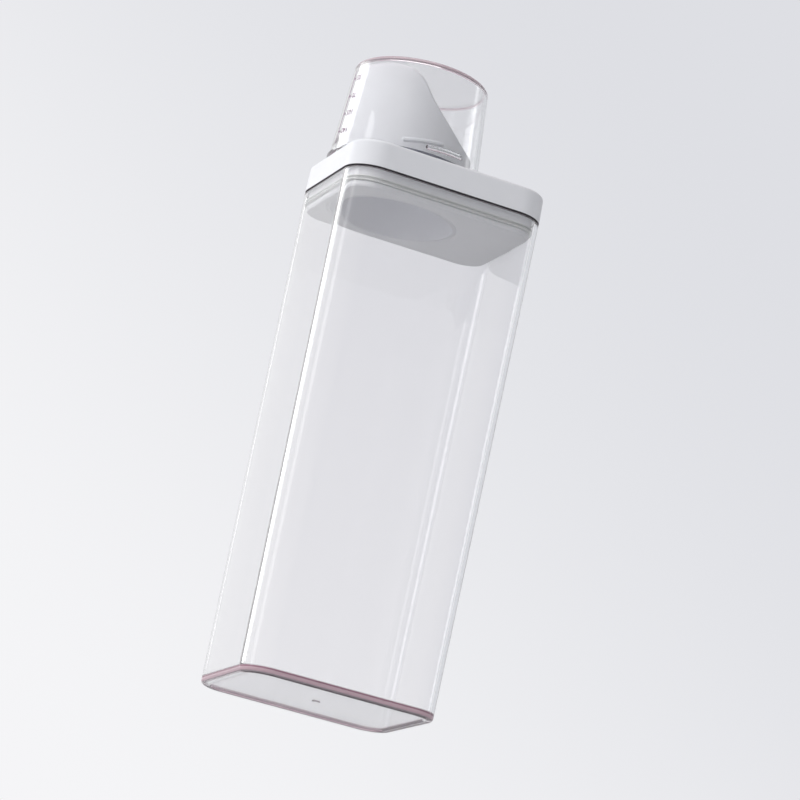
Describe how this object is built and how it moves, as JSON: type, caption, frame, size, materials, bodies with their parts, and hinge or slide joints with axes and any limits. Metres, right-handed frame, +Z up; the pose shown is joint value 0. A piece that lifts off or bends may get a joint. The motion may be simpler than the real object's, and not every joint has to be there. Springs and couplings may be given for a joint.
{
  "type": "food canister",
  "caption": "Tall clear rectangular canister with a flush lid, a slanted pouring spout and a screw-on measuring cup as its cap.",
  "frame": {"origin": "middle of the foot, on the surface that the canister stands on", "axes": "+Z up along the canister, X along its long side with the spout and cup towards -X, -Y the front face"},
  "size_m": [0.1065, 0.087, 0.3258],
  "materials": {
    "clear_body": "clear gloss",
    "white_lid": "satin",
    "white_liner": "satin",
    "gasket": "translucent matte",
    "white_spout": "satin",
    "cup_ring": "translucent matte",
    "clear_cup": "clear gloss"
  },
  "bodies": {
    "container": {"container_body": "clear_body"},
    "lid": {"lid_cover": "white_lid", "lid_liner": "white_liner", "lid_seal": "gasket", "pour_spout": "white_spout"},
    "cup_ring": {"cup_seal": "cup_ring"},
    "cup": {"measuring_cup": "clear_cup"}
  },
  "joints": [
    {"name": "lid_lift", "type": "slide", "parent": "container", "child": "lid", "axis": [0, 0, 1], "range_m": [0, 0.06]},
    {"name": "cup_lift", "type": "slide", "parent": "lid", "child": "cup_ring", "axis": [0, 0, 1], "range_m": [0, 0.065]},
    {"name": "cup_twist", "type": "hinge", "parent": "cup_ring", "child": "cup", "pos_m": [-0.014, 0, 0.3], "axis": [0, 0, 1], "range_deg": [0, 30]}
  ]
}
